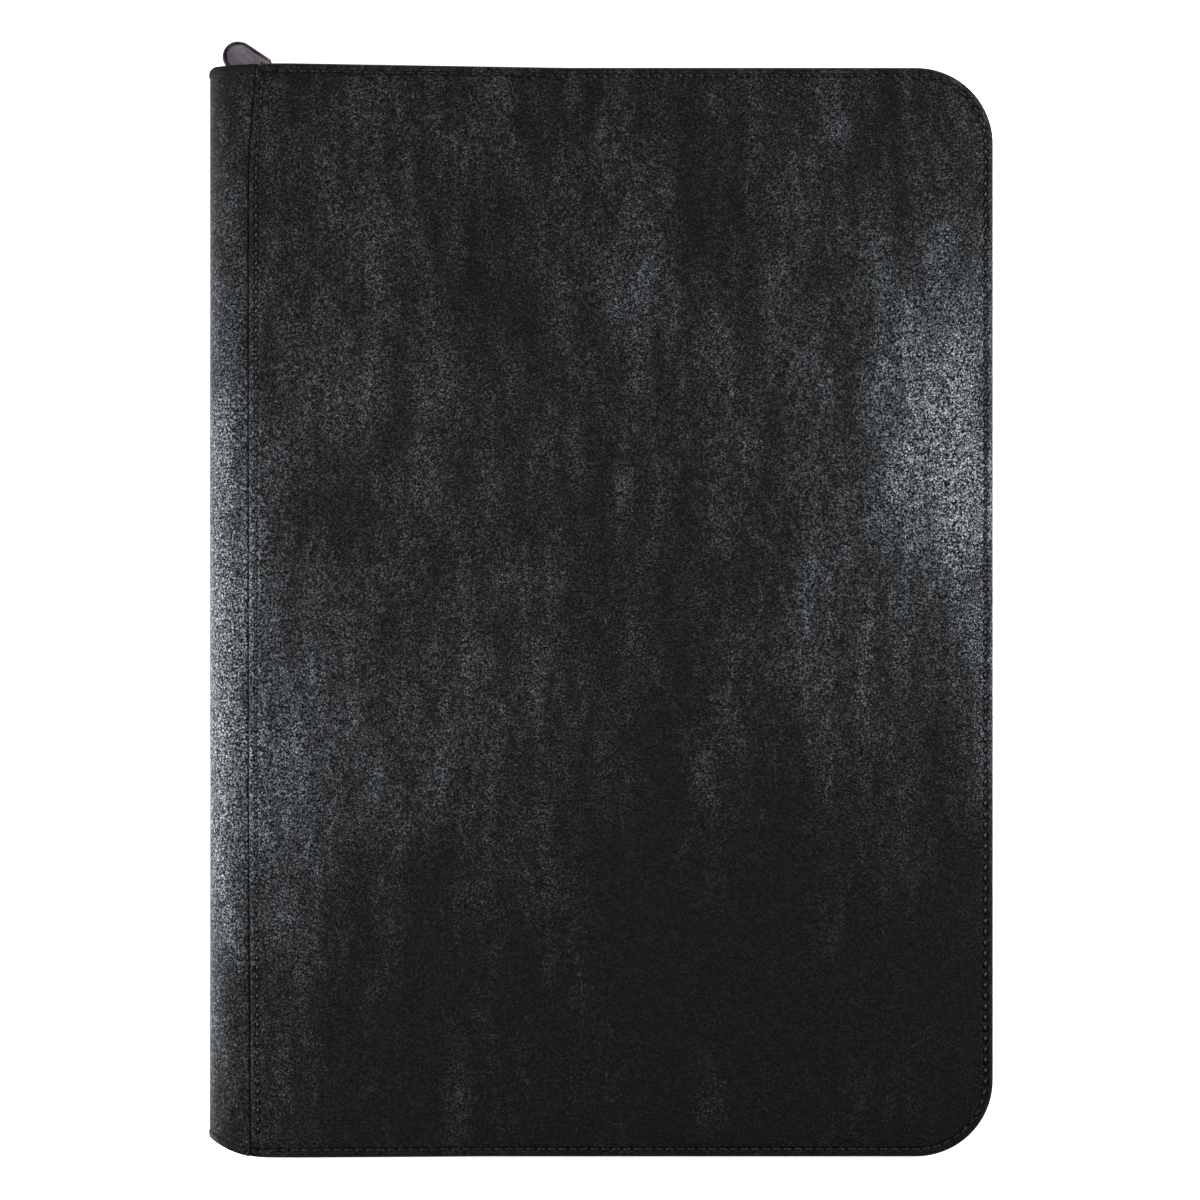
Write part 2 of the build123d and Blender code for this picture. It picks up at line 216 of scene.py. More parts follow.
def bump(tree, shader, height, depth, strength=1.0):
    """Fine relief: a height of 1 stands a depth in metres above a height of 0."""
    inputs = {"Height": height, "Distance": depth, "Strength": strength}
    normal = add(tree, "ShaderNodeBump", inputs).outputs["Normal"]
    tree.links.new(normal, shader.inputs["Normal"])


def leathercloth():
    """Leathercloth: polyurethane on knitted backing, pressed with a fine pebble and rubbed with paler
    grey down its length.  The rubbed grey sits on the tops of the grain, the valleys stay near black.
    Broad paler patches are partly painted sheen, darker patches are painted shade, fine specks are
    painted sparkle, and an attribute paints shade along the seams."""
    made, tree, shader = material("brushed_leathercloth")
    at = place(tree, REST)
    wander = add(tree, "ShaderNodeTexNoise", {"Vector": at, "Scale": 60.0, "Detail": 2.0})
    bent = add(
        tree,
        "ShaderNodeVectorMath",
        {0: wander.outputs["Color"], 1: (0.006, 0.006, 0.006)},
        operation="MULTIPLY_ADD",
    )
    tree.links.new(at, bent.inputs[2])
    loose = bent.outputs["Vector"]
    long_streak = noise(tree, stretched(tree, loose, (46, 11, 46)), 1.0, 3.0)
    short_streak = noise(tree, stretched(tree, loose, (170, 42, 170)), 1.0, 4.0)
    mottle = noise(tree, loose, 330.0, 4.0, 0.6)
    speck = noise(tree, at, 1500.0, 2.0, 0.6)
    # Painted sheen and painted shade: broad paler and darker patches laid into the tone.
    rubbed_and_sheen = patches(tree, loose, RUBBED_AND_SHEEN_PATCHES)
    shaded = patches(tree, loose, SHADE_PATCHES)
    wear_sheen_and_shade = math_node(tree, "MULTIPLY", long_streak, 0.42)
    shares = ((short_streak, 0.39), (mottle, 0.26), (speck, 0.14), (rubbed_and_sheen, 0.125), (shaded, -0.11))
    for part, share in shares:
        wear_sheen_and_shade = math_node(tree, "MULTIPLY_ADD", part, share, wear_sheen_and_shade)

    pebbles = add(
        tree,
        "ShaderNodeTexVoronoi",
        {"Vector": loose, "Scale": 1350.0, "Randomness": 1.0},
        feature="DISTANCE_TO_EDGE",
    ).outputs["Distance"]
    tops = add(
        tree,
        "ShaderNodeMapRange",
        {"Value": pebbles, "From Min": 0.0, "From Max": 0.22},
        interpolation_type="SMOOTHSTEP",
    ).outputs["Result"]
    wrinkle = noise(tree, stretched(tree, at, (1550, 1350, 1550)), 1.0, 1.0, 0.6, 0.5)
    height = math_node(tree, "MULTIPLY_ADD", tops, 0.2, wrinkle)

    tone = ramp(
        tree,
        wear_sheen_and_shade,
        [
            (0.48, colour("#0c0a0b")),
            (0.58, colour("#171617")),
            (0.68, colour("#252729")),
            (0.78, colour("#373a3d")),
            (0.93, colour("#585b5e")),
        ],
    )
    inputs = {"Value": height, "From Min": 0.54, "From Max": 0.84, "To Min": 0.0, "To Max": 2.9}
    valley = add(tree, "ShaderNodeMapRange", inputs).outputs["Result"]
    # Painted shade along seams and folded edges, read from the mesh, darkens the colour.
    painted_shade = add(tree, "ShaderNodeAttribute", attribute_name=SHADE_ATTRIBUTE).outputs["Fac"]
    open_share = math_node(tree, "MULTIPLY_ADD", painted_shade, -0.93, 1.0)
    # Painted sparkle: fine specks make the colour paler and darker, standing in for glints off the grain.
    inputs = {"Value": speck, "From Min": 0.34, "From Max": 0.66, "To Min": 0.5, "To Max": 1.5}
    sparkle = add(tree, "ShaderNodeMapRange", inputs).outputs["Result"]
    grained = add(tree, "ShaderNodeVectorMath", {0: tone}, operation="SCALE")
    sparkled = math_node(tree, "MULTIPLY", valley, sparkle)
    tree.links.new(math_node(tree, "MULTIPLY", sparkled, open_share), grained.inputs["Scale"])
    tree.links.new(grained.outputs["Vector"], shader.inputs["Base Color"])
    inputs = {"Value": wear_sheen_and_shade, "From Min": 0.5, "From Max": 0.9, "To Min": 0.64, "To Max": 0.5}
    rough = add(tree, "ShaderNodeMapRange", inputs)
    tree.links.new(rough.outputs["Result"], shader.inputs["Roughness"])
    shader.inputs["IOR"].default_value = 1.45
    shader.inputs["Specular IOR Level"].default_value = 0.12
    bump(tree, shader, height, 0.34 * MM, 1.0)
    return made


def woven(name, dark, light, pitch, attribute=None, slant=0.0, roughness=0.8, sheen=0.12):
    """Woven cloth: threads cross at a pitch in metres; slant turns the plain weave into a twill."""
    made, tree, shader = material(name)
    at = place(tree, attribute)
    split = add(tree, "ShaderNodeSeparateXYZ", {0: at})
    turn = 2 * math.pi / pitch
    across_threads = math_node(tree, "MULTIPLY_ADD", split.outputs[1], slant, split.outputs[0])
    first = math_node(tree, "SINE", math_node(tree, "MULTIPLY", across_threads, turn))
    second = math_node(tree, "SINE", math_node(tree, "MULTIPLY", split.outputs[1], turn))
    weave = math_node(tree, "MULTIPLY_ADD", first, second, 1.0)
    fuzz = noise(tree, at, 900.0, 3.0, 0.6)
    height = math_node(tree, "MULTIPLY_ADD", weave, 0.5, fuzz)
    level = math_node(tree, "MULTIPLY", height, 0.55)
    shade = ramp(tree, level, [(0.2, colour(dark)), (0.75, colour(light))])
    tree.links.new(shade, shader.inputs["Base Color"])
    shader.inputs["Roughness"].default_value = roughness
    shader.inputs["Sheen Weight"].default_value = sheen
    shader.inputs["Specular IOR Level"].default_value = 0.2
    shader.inputs["Sheen Roughness"].default_value = 0.5
    bump(tree, shader, height, 0.12 * MM, 0.6)
    return made


def plain(name, dark, light, grain, roughness, metallic=0.0, depth=0.02, spread=0.08, coat=0.0):
    """A moulded, painted, plated or spun finish: fine grain in colour, roughness and surface.
    The grain's size and depth are in mm."""
    made, tree, shader = material(name)
    at = place(tree)
    fine = noise(tree, at, 1 / (grain * MM), 4.0, 0.6)
    broad = noise(tree, at, 60.0, 2.0)
    level = math_node(tree, "MULTIPLY_ADD", broad, 0.5, math_node(tree, "MULTIPLY", fine, 0.5))
    shade = ramp(tree, level, [(0.32, colour(dark)), (0.68, colour(light))])
    tree.links.new(shade, shader.inputs["Base Color"])
    low, high = roughness - spread, roughness + spread
    inputs = {"Value": fine, "From Min": 0.3, "From Max": 0.7, "To Min": low, "To Max": high}
    tree.links.new(add(tree, "ShaderNodeMapRange", inputs).outputs["Result"], shader.inputs["Roughness"])
    shader.inputs["Metallic"].default_value = metallic
    shader.inputs["Coat Weight"].default_value = coat
    bump(tree, shader, fine, depth * MM, 0.5)
    return made, shader


LEATHER = leathercloth()
# Cloths are matt.  Their threads are drawn coarser than real ones, which are too fine to show.
# The lining is a plain weave, a faint square grid.
LINING = woven("plain_woven_lining_cloth", "#0c0c0d", "#212124", 0.9 * MM)
# The tape is woven on the slant, so fine diagonal ribs run along it.
TAPE = woven("polyester_zip_tape", "#0b0b0c", "#1e1e20", 0.8 * MM, CLOTH, 1.0)
# The binding is close-woven and near black, with none of the leathercloth's grey.
BINDING = woven("polyester_edge_binding", "#020202", "#090807", 0.7 * MM, None, 0.6, sheen=0.0)
# Bonded thread is smooth: each stitch catches a small soft highlight.
THREAD, thread_shader = plain(
    "bonded_polyester_thread", "#060606", "#121213", 0.3, 0.35, spread=0.1, depth=0.05
)
thread_shader.inputs["Specular IOR Level"].default_value = 0.38
# Drawn nylon is dark and half-gloss, so the teeth stay dim.
COIL, coil_shader = plain("nylon_zip_coil", "#0b0b0c", "#1b1b1d", 0.5, 0.45)
coil_shader.inputs["Specular IOR Level"].default_value = 0.25
# Stove paint over die-cast zinc gives a smooth black gloss.
PAINTED, _ = plain("black_painted_zinc", "#0a0a0b", "#161618", 0.4, 0.3, coat=0.3)
# Gunmetal plating is a polished, warm mid grey that mirrors the lamps softly.
GUNMETAL, _ = plain(
    "gunmetal_plated_zinc", "#3b363b", "#5c565c", 1.2, 0.36, metallic=1.0, depth=0.01
)
# The blackened rim is left dark round the plated face and hardly shines; on one side it is drawn
# wider as painted shade.
BLACKENED_RIM_AND_SHADE, rim_shader = plain("blackened_zinc_rim_and_painted_shade", "#050505", "#0d0d0e", 0.6, 0.36, depth=0.01)
rim_shader.inputs["Specular IOR Level"].default_value = 0.3
# Calendered sheet is black and satin, with a faint pressed grain.
SHEET, _ = plain("black_polypropylene_sheet", "#0c0c0d", "#141416", 0.35, 0.48, depth=0.04)
# Extruded plastic is a dull, even dark grey.
MOULDED, _ = plain("extruded_polypropylene", "#101011", "#1a1a1c", 0.6, 0.5, depth=0.03)
# Grey board is pulp: flat, warm and flecked.
BOARD, _ = plain("grey_binders_board", "#55524d", "#6f6b65", 0.8, 0.85, depth=0.08)
# Foam is open-celled, so it is matt and finely pitted.
FOAM, _ = plain("polyurethane_foam", "#4a4a4a", "#6a6a6a", 0.5, 0.9, depth=0.15)
# Cast film is clear with a sharp gloss, so the black sheet shows through.
FILM, film_shader = plain("clear_polypropylene_film", "#c4cad0", "#d4dae0", 2.0, 0.16, spread=0.05)
film_shader.inputs["Alpha"].default_value = 0.16
film_shader.inputs["IOR"].default_value = 1.49


# ---- Meshes --------------------------------------------------------------------------------------
def loft(rows, caps=True):
    """Quads between loops of points; caps close the first and last loop."""
    rows = np.asarray(rows, float)
    count, size = rows.shape[:2]
    across = np.arange(size)
    following = (across + 1) % size
    faces = []
    for here in range(0, (count - 1) * size, size):
        there = here + size
        quads = [here + across, here + following, there + following, there + across]
        faces += np.stack(quads, 1).tolist()
    if caps:
        faces.append(list(range(size - 1, -1, -1)))
        faces.append([(count - 1) * size + i for i in range(size)])
    return rows.reshape(-1, 3), faces


def piece(
    name, points, faces, materials, body=None, slots=None, replaces=(), cloth=None, painted_shade=None
):
    """A smooth-shaded mesh object with its doubles merged and its faces outwards."""
    mesh = bpy.data.meshes.new(name)
    mesh.from_pydata([tuple(p) for p in points], [], faces)
    if slots is not None:
        mesh.polygons.foreach_set("material_index", slots)
    if cloth is not None:
        places = mesh.attributes.new(CLOTH, "FLOAT_VECTOR", "POINT")
        places.data.foreach_set("vector", np.ravel(cloth))
    # Painted shade: darkens the leathercloth's colour along seams and folded edges.
    if painted_shade is not None:
        depths = mesh.attributes.new(SHADE_ATTRIBUTE, "FLOAT", "POINT")
        depths.data.foreach_set("value", np.ravel(painted_shade))
    tidy(mesh)
    made = bpy.data.objects.new(name, mesh)
    bpy.context.scene.collection.objects.link(made)
    for one in materials if isinstance(materials, (list, tuple)) else [materials]:
        mesh.materials.append(one)
    keep_rest(made)
    if replaces:
        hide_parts(*replaces)
    if body:
        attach(made, body)
    return made


def tidy(mesh):
    """Merges doubles, turns the faces outwards and shades them smooth."""
    work = bmesh.new()
    work.from_mesh(mesh)
    bmesh.ops.remove_doubles(work, verts=work.verts, dist=1e-6)
    bmesh.ops.recalc_face_normals(work, faces=work.faces)
    work.to_mesh(mesh)
    work.free()
    mesh.polygons.foreach_set("use_smooth", [True] * len(mesh.polygons))
    mesh.update()


def keep_rest(made):
    """Stores each vertex's place at rest, so that a pattern stays on the surface when it bends."""
    mesh = made.data
    places = np.zeros(len(mesh.vertices) * 3, np.float32)
    mesh.vertices.foreach_get("co", places)
    mesh.attributes.new(REST, "FLOAT_VECTOR", "POINT").data.foreach_set("vector", places)


def to_back(points):
    """The same points on the back cover."""
    flipped = np.array(points, float)
    flipped[..., 2] = top_z - flipped[..., 2]
    return flipped


# ---- Outline of a cover --------------------------------------------------------------------------
SIDE, END, ROUND = 420, 270, 40  # points along a long side, a short side and a corner


def draw_in(x, y):
    """The ends of the cover draw in towards the spine, more at the foot, and lean a little at the head."""
    along = (x - spine_x) / MM
    near = np.clip(1 - along / 20, 0, 1)
    foot = 6.4 * near**2.2 + 0.4 * np.clip((along - 30) / 60, 0, 1)
    head = 1.3 * near + 0.9 * np.clip(1 - along / 2, 0, 1) ** 2
    head += 1.5 * np.clip((along - 26) / 90, 0, 1)
    lost = np.where(y > 0, head, foot) * MM
    return y * (1 - lost / end_y)


def lean(points):
    """The folded edge leans away from the spine at the foot, and over its last few centimetres
    at the head."""
    near_head = np.clip((points[:, 1] - 143 * MM) / (33 * MM), 0, 1) ** 1.1
    near_foot = np.clip((-points[:, 1] - 60 * MM) / (110 * MM), 0, 1)
    near_fold = np.clip(1 - (points[:, 0] - fold_x) / (45 * MM), 0, 1)
    shift = (0.7 + 2.4 * near_head + 0.7 * near_foot) * MM
    return points + np.stack([shift * near_fold**2, 0 * near_fold], 1)


def ring(left, inset):
    """Points of a cover's outline, drawn in by an inset, with the same count at every inset.
    It starts at the spine's foot corner and runs by foot, fore-edge and head back along the spine."""
    low, right, end = left + inset, edge_x - inset, end_y - inset
    low, end = min(low, (left + edge_x) / 2), max(end, end_y - (edge_x - left) / 2)
    right = max(right, (left + edge_x) / 2)
    radius = max(CORNER - inset, 0.0)
    turn = np.linspace(0, math.pi / 2, ROUND + 2)[1:-1]
    foot = np.linspace([low, -end], [right - radius, -end], END)
    corner = [right - radius, -end + radius] + radius * np.stack([np.sin(turn), -np.cos(turn)], 1)
    fore = np.linspace([right, -end + radius], [right, end - radius], SIDE)
    top = np.stack([corner[::-1, 0], -corner[::-1, 1]], 1)
    head = np.linspace([right - radius, end], [low, end], END)
    back = np.linspace([low, end], [low, -end], SIDE + 2)[1:-1]
    return np.concatenate([foot, corner, fore, top, head, back])


ON_FOLD = slice(2 * END + 2 * ROUND + SIDE, None)


def from_edges(points, left):
    """How far points lie from the three open edges and from the fold."""
    x, y = points[:, 0], np.abs(points[:, 1])
    open_edge = np.minimum(edge_x - x, end_y - y)
    corner_x, corner_y = edge_x - CORNER, end_y - CORNER
    in_corner = (x > corner_x) & (y > corner_y)
    open_edge = np.where(in_corner, CORNER - np.hypot(x - corner_x, y - corner_y), open_edge)
    return open_edge, x - left


def travel(points):
    """Distance run along a line of points."""
    steps = np.hypot(*np.diff(points[:, :2], axis=0).T)
    return np.concatenate([[0], np.cumsum(steps)])


def rolled(distance, radius):
    """How far a rounded edge has dropped at a distance from its outermost line."""
    inside = np.clip(radius - distance, 0, radius)
    return radius - np.sqrt(radius**2 - inside**2)


def unrest(x, y, seed):
    """Slow unevenness of hand-stretched material, from -1 to 1."""
    random = np.random.default_rng(seed)
    total = np.zeros_like(x)
    for _ in range(7):
        fx, fy = random.uniform(-1, 1, 2) * (60, 34)
        total += np.sin(fx * x + fy * y + random.uniform(0, 6.3))
    return total / 4


def seam_groove(distance, along, pitch, depth, width):
    """A stitched line pulls the surface down, deepest where the needle went through."""
    pull = 0.62 + 0.38 * np.cos(2 * math.pi * along / pitch)
    return depth * pull * np.exp(-((distance / width) ** 2))


seam_run = travel(ring(fold_x, EDGE_SEAM))


def face_drop(points, left):
    """Depth of the padded face under the cover's top, over a whole ring of points."""
    open_edge, from_fold = from_edges(points, left)
    drop = np.maximum(rolled(open_edge, 1.6 * MM), rolled(from_fold, 0.9 * MM))
    drop += 0.75 * MM / (1 + (np.maximum(open_edge - EDGE_SEAM, 0) / (5 * MM)) ** 2)
    drop += 0.15 * MM / (1 + (np.maximum(from_fold - FOLD_SEAM, 0) / (4 * MM)) ** 2)
    drop += seam_groove(open_edge - EDGE_SEAM, seam_run, STITCH, 0.7 * MM, 0.6 * MM)
    drop += seam_groove(from_fold - FOLD_SEAM, points[:, 1], FOLD_STITCH, 0.4 * MM, 0.7 * MM)
    hand = 1 + unrest(points[:, 0], points[:, 1], 3)
    drop += 0.14 * MM * hand * np.clip(open_edge / (12 * MM), 0, 1)
    return drop


# Insets of the face's rings in mm, closest where the edge rolls over and where the seam lies.
INSETS = (0, 0.1, 0.3, 0.6, 1.0, 1.4, 1.7, 1.9, 2.1, 2.3, 2.5, 2.7, 2.9, 3.1, 3.4, 3.8, 4.4)
INSETS += (5.3, 6.6, 8.5, 11, 14, 18, 23, 29, 36, 44, 53, 63, 74, 86, 98, 110, 125)


def placed(points, height, leans=False):
    """Ring points at a height, with the ends drawn in."""
    points = lean(points) if leans else points
    return np.stack([points[:, 0], draw_in(points[:, 0], points[:, 1]), height], 1)


def seam_shade(points, left):
    """How deep each point lies in the shade of a sewn line, from 0 to 1: lighter at the needle holes."""
    open_edge, from_fold = from_edges(points, left)
    edge_shade = np.exp(-(((open_edge - EDGE_SEAM) / EDGE_SHADE) ** 2))
    edge_shade *= 0.6 - 0.4 * np.cos(2 * math.pi * seam_run / STITCH)
    fold_shade = np.exp(-(((from_fold - FOLD_SEAM) / FOLD_SHADE) ** 2)) * (open_edge > EDGE_SEAM)
    fold_shade *= 0.6 - 0.4 * np.cos(2 * math.pi * points[:, 1] / FOLD_STITCH)
    return np.clip(edge_shade + fold_shade, 0, 1)


def cover_leather(name, body, replaced, flip):
    """Padded leathercloth panel with rolled edges, a turned hem on three sides and a folded edge."""
    rows, shade = [], []
    inner = ((SKIN, 125 * MM), (SKIN, HEM_WIDTH), (HEM_DEPTH, HEM_WIDTH), (HEM_DEPTH, 0.7 * MM))
    for depth, inset in inner:
        points = ring(fold_x, inset)
        depths = np.full(len(points), depth)
        depths[ON_FOLD] = np.minimum(depths[ON_FOLD], SKIN)
        rows.append(placed(points, top_z - depths, True))
    for depth, inset in ((HEM_DEPTH - 0.25 * MM, 0.15 * MM), (HEM_DEPTH - 0.9 * MM, 0)):
        points = ring(fold_x, inset)
        depths = np.full(len(points), depth)
        depths[ON_FOLD] = np.minimum(depths[ON_FOLD], 0.9 * SKIN)
        rows.append(placed(points, top_z - depths, True))
    for inset in INSETS:
        points = ring(fold_x, inset * MM)
        rows.append(placed(points, top_z - face_drop(points, fold_x), True))
        # Painted shade along the seams.
        shade.append(seam_shade(points, fold_x))
    plain_rows = len(rows) - len(shade)
    shade = np.concatenate([np.zeros(plain_rows * len(rows[0])), *shade])
    points, faces = loft(rows, caps=False)
    points = to_back(points) if flip else points
    return piece(
        name, points, faces, LEATHER, body, replaces=[replaced], painted_shade=shade
    )


front_leather = cover_leather("front_cover_leather", "front_cover", "front_skin", False)
back_leather = cover_leather("back_cover_leather", "root", "back_skin", True)


# ---- Linings -------------------------------------------------------------------------------------
lining_left = lining_low.x
lining_inset = edge_x - lining_high.x


def cover_lining(name, body, replaced, flip):
    """Cloth lining, drawn over the board with a soft edge and sewn close to it."""
    thickness = 0.6 * MM
    rows = []
    for inset in (125, 6, 0.3):
        points = ring(lining_left, inset * MM + lining_inset)
        points[:, 0] = np.maximum(points[:, 0], lining_left)
        rows.append(placed(points, np.full(len(points), lining_low.z + thickness)))
    for inset in (0, 0.15, 0.4, 0.8, 1.2, 2, 3.5, 6, 9, 14, 22, 34, 50, 70, 90, 125):
        points = ring(lining_left - lining_inset, inset * MM + lining_inset)
        open_edge, _ = from_edges(points, lining_left)
        inside = open_edge - lining_inset
        groove = seam_groove(inside - 0.8 * MM, seam_run, STITCH, 0.2 * MM, 0.5 * MM)
        lift = rolled(inside, 0.4 * MM) + groove
        hand = 1 + unrest(points[:, 0], points[:, 1], 8)
        lift += 0.1 * MM * hand * np.clip(inside / (9 * MM), 0, 1)
        rows.append(placed(points, lining_low.z + lift))
    points, faces = loft(rows, caps=False)
    points = to_back(points) if flip else points
    piece(name, points, faces, LINING, body, replaces=[replaced])


cover_lining("front_cover_lining", "front_cover", "front_lining", False)
cover_lining("back_cover_lining", "root", "back_lining", True)


# ---- Spine strip and its bound ends --------------------------------------------------------------
def strip_profile():
    """X, Z and outward direction of the strip's outer face, from under the front panel to mid-spine."""
    centre_x, centre_z = spine_x + SPINE_ROUND, strip_z - SPINE_ROUND
    under_cover = np.linspace(flap_end_x, fold_x + 3.4 * MM, 6)
    places = np.concatenate([under_cover, np.arange(3.1, -1.6, -0.2) * MM + fold_x])
    flat = [(x, strip_z, 0, 1) for x in places if x > centre_x]
    turns = np.linspace(math.pi / 2, math.pi, 22)
    around = [(math.cos(t), math.sin(t)) for t in turns]
    turned = [(centre_x + SPINE_ROUND * c, centre_z + SPINE_ROUND * s, c, s) for c, s in around]
    side = [(spine_x, z, -1, 0) for z in np.linspace(centre_z, mid_z, 6)[1:]]
    return np.array(flat + turned + side)


PROFILE = strip_profile()


def strip_end(x, sign):
    """Y of the strip's end at a place across it."""
    under = x > fold_x + STRIP_UNDER
    end = np.where(under, end_y - HEM_WIDTH, end_y - 0.1 * MM)
    return sign * np.where(under, end, np.abs(draw_in(x, sign * end)))


def spine_strip(name, flip, replaced):
    """Half of the soft strip that wraps the spine, between the spine and one cover."""
    rows, shade = [], []
    for x, z, out_x, out_z in PROFILE:
        foot, head = strip_end(np.array(x), -1), strip_end(np.array(x), 1)
        y = np.linspace(foot, head, 300)
        soft = 0.12 * MM * unrest(np.full_like(y, x + z), y, 5)
        soft *= np.clip(abs(out_x) * 2, 0, 1)
        line = np.stack([np.full_like(y, fold_x), y], 1)
        edge = lean(line)[:, 0]
        beside = np.zeros_like(y)
        if out_z > 0.9:
            beside = np.exp(-(((x - edge + 0.05 * MM) / (0.36 * MM)) ** 2))
        soft -= 0.35 * MM * beside
        soft -= TUCK_DEPTH * np.clip((x - edge - TUCK_START) / TUCK_RUN, 0, 1)
        at_binding = np.exp(-(((end_y - np.abs(y) - 2.9 * MM) / (0.4 * MM)) ** 2))
        face = np.stack([x + out_x * soft, y, z + out_z * soft], 1)
        inner = np.stack([x - out_x * SKIN + 0 * y, y, z - out_z * SKIN + 0 * y], 1)[::-1]
        rows.append(np.concatenate([face, inner]))
        # Painted shade: a dark line beside the cover's folded edge and a band along the binding's edge.
        shade.append(np.concatenate([np.maximum(0.75 * beside, 0.8 * at_binding), 0 * y]))
    points, faces = loft(rows)
    points = to_back(points) if flip else points
    shade = np.concatenate(shade)
    made = piece(name, points, faces, LEATHER, replaces=replaced, painted_shade=shade)
    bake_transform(made)


spine_strip(
    "spine_leather_front", False,
    ["spine_skin", "front_joint_skin"],
)
spine_strip("spine_leather_back", True, ["back_joint_skin"])


HEAD_BINDING_REACH, FOOT_BINDING_REACH = 2.7 * MM, 0.9 * MM  # how far past the fold each runs


def end_binding(name, flip, sign, replaced):
    """Binding folded over the end of the strip: cloth at the head, the strip's own leathercloth
    at the foot.  Its section runs round the end, in mm inwards from the tip and up from the face."""
    section = [(2.5, 0.02), (2.35, 0.22), (1.6, 0.3), (0.7, 0.26), (0.1, 0.1), (-0.22, -0.3)]
    section += [(-0.22, -0.8), (0.1, -1.2), (0.8, -1.35), (1.8, -1.3), (2.5, -1.02)]
    rows, shade = [], []
    last = fold_x + (HEAD_BINDING_REACH if sign > 0 else FOOT_BINDING_REACH)
    for x, z, out_x, out_z in PROFILE:
        if x > last:
            continue
        tip = sign * abs(draw_in(np.array(x), np.array(sign * (end_y - 0.1 * MM))))
        rows.append(
            [(x + out_x * h * MM, tip - sign * inset * MM, z + out_z * h * MM) for inset, h in section]
        )
        # Painted shade where the binding's edges meet the strip.
        shade.append([float(inset > 2) for inset, h in section])
    points, faces = loft(rows)
    points = to_back(points) if flip else points
    made_of = BINDING if sign > 0 else LEATHER
    made = piece(name, points, faces, made_of, replaces=replaced, painted_shade=shade)
    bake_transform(made)


for sign, end_name in ((1, "head"), (-1, "foot")):
    end_binding(
        f"{end_name}_binding_front", False, sign,
        [f"{end_name}_edge_binding"],
    )
    end_binding(f"{end_name}_binding_back", True, sign, [])


# ---- Repeated parts: stitches and zip teeth ------------------------------------------------------
def repeating_tree():
    """Copies one unit along every line of its input, turned with the line, at an even pitch."""
    tree = bpy.data.node_groups.new("units_along_a_line", "GeometryNodeTree")
    for name, kind in (
        ("Lines", "NodeSocketGeometry"),
        ("Unit", "NodeSocketObject"),
        ("Pitch", "NodeSocketFloat"),
        ("Turn", "NodeSocketFloat"),
        ("Seed", "NodeSocketInt"),
        ("Material", "NodeSocketMaterial"),
    ):
        tree.interface.new_socket(name=name, in_out="INPUT", socket_type=kind)
    tree.interface.new_socket(name="Units", in_out="OUTPUT", socket_type="NodeSocketGeometry")
    given = add(tree, "NodeGroupInput").outputs
    curve = add(tree, "GeometryNodeMeshToCurve", {"Mesh": given["Lines"]}).outputs["Curve"]
    inputs = {"Curve": curve, "Length": given["Pitch"]}
    points = add(tree, "GeometryNodeCurveToPoints", inputs, mode="LENGTH").outputs
    inputs = {"Vector": points["Tangent"]}
    along = add(tree, "FunctionNodeAlignRotationToVector", inputs, axis="X", pivot_axis="Z").outputs[0]
    opposite = math_node(tree, "MULTIPLY", given["Turn"], -1.0)
    inputs = {2: opposite, 3: given["Turn"], "Seed": given["Seed"]}
    stray = add(tree, "FunctionNodeRandomValue", inputs, data_type="FLOAT").outputs[1]
    turn = add(tree, "ShaderNodeCombineXYZ", {"Z": stray}).outputs[0]
    euler = add(tree, "FunctionNodeEulerToRotation", {0: turn}).outputs[0]
    inputs = {"Rotation": along, "Rotate By": euler}
    turned = add(tree, "FunctionNodeRotateRotation", inputs, rotation_space="LOCAL").outputs[0]
    unit = add(tree, "GeometryNodeObjectInfo", {"Object": given["Unit"]}).outputs["Geometry"]
    inputs = {"Points": points["Points"], "Instance": unit, "Rotation": turned}
    copies = add(tree, "GeometryNodeInstanceOnPoints", inputs).outputs[0]
    real = add(tree, "GeometryNodeRealizeInstances", {0: copies}).outputs[0]
    inputs = {"Geometry": real, "Material": given["Material"]}
    shaded = add(tree, "GeometryNodeSetMaterial", inputs).outputs[0]
    add(tree, "NodeGroupOutput", {0: shaded})
    return tree


REPEAT = repeating_tree()


def lines_mesh(name, lines):
    """A mesh of loose edges that follows each line of points."""
    points = np.concatenate(lines)
    edges, start = [], 0
    for line in lines:
        edges += [(start + i, start + i + 1) for i in range(len(line) - 1)]
        start += len(line)
    mesh = bpy.data.meshes.new(name)
    mesh.from_pydata([tuple(p) for p in points], edges, [])
    return mesh


def along_lines(name, lines, unit, count, turn, seed, made_of, body, replaced):
    """A finished piece of units, a count of them evenly along each line."""
    points, faces = unit
    unit_mesh = bpy.data.meshes.new("unit")
    unit_mesh.from_pydata([tuple(p) for p in points], [], faces)
    tidy(unit_mesh)
    one = bpy.data.objects.new("unit", unit_mesh)
    made = bpy.data.objects.new(name, lines_mesh(name, lines))
    scene = bpy.context.scene
    scene.collection.objects.link(one)
    scene.collection.objects.link(made)
    modifier = made.modifiers.new("repeat", "NODES")
    modifier.node_group = REPEAT
    items = REPEAT.interface.items_tree
    sockets = {item.name: item.identifier for item in items if item.in_out == "INPUT"}
    pitch = travel(lines[0])[-1] / (count - 0.7)
    values = {"Unit": one, "Pitch": pitch, "Turn": turn, "Seed": seed, "Material": made_of}
    for key, value in values.items():
        modifier[sockets[key]] = value
    bpy.context.view_layer.update()
    evaluated = made.evaluated_get(bpy.context.evaluated_depsgraph_get())
    result = bpy.data.meshes.new_from_object(evaluated)
    made.modifiers.clear()
    made.data = result
    if not result.materials:
        result.materials.append(made_of)
    bpy.data.objects.remove(one)
    result.polygons.foreach_set("use_smooth", [True] * len(result.polygons))
    keep_rest(made)
    if replaced:
        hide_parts(*replaced)
    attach(made, body)


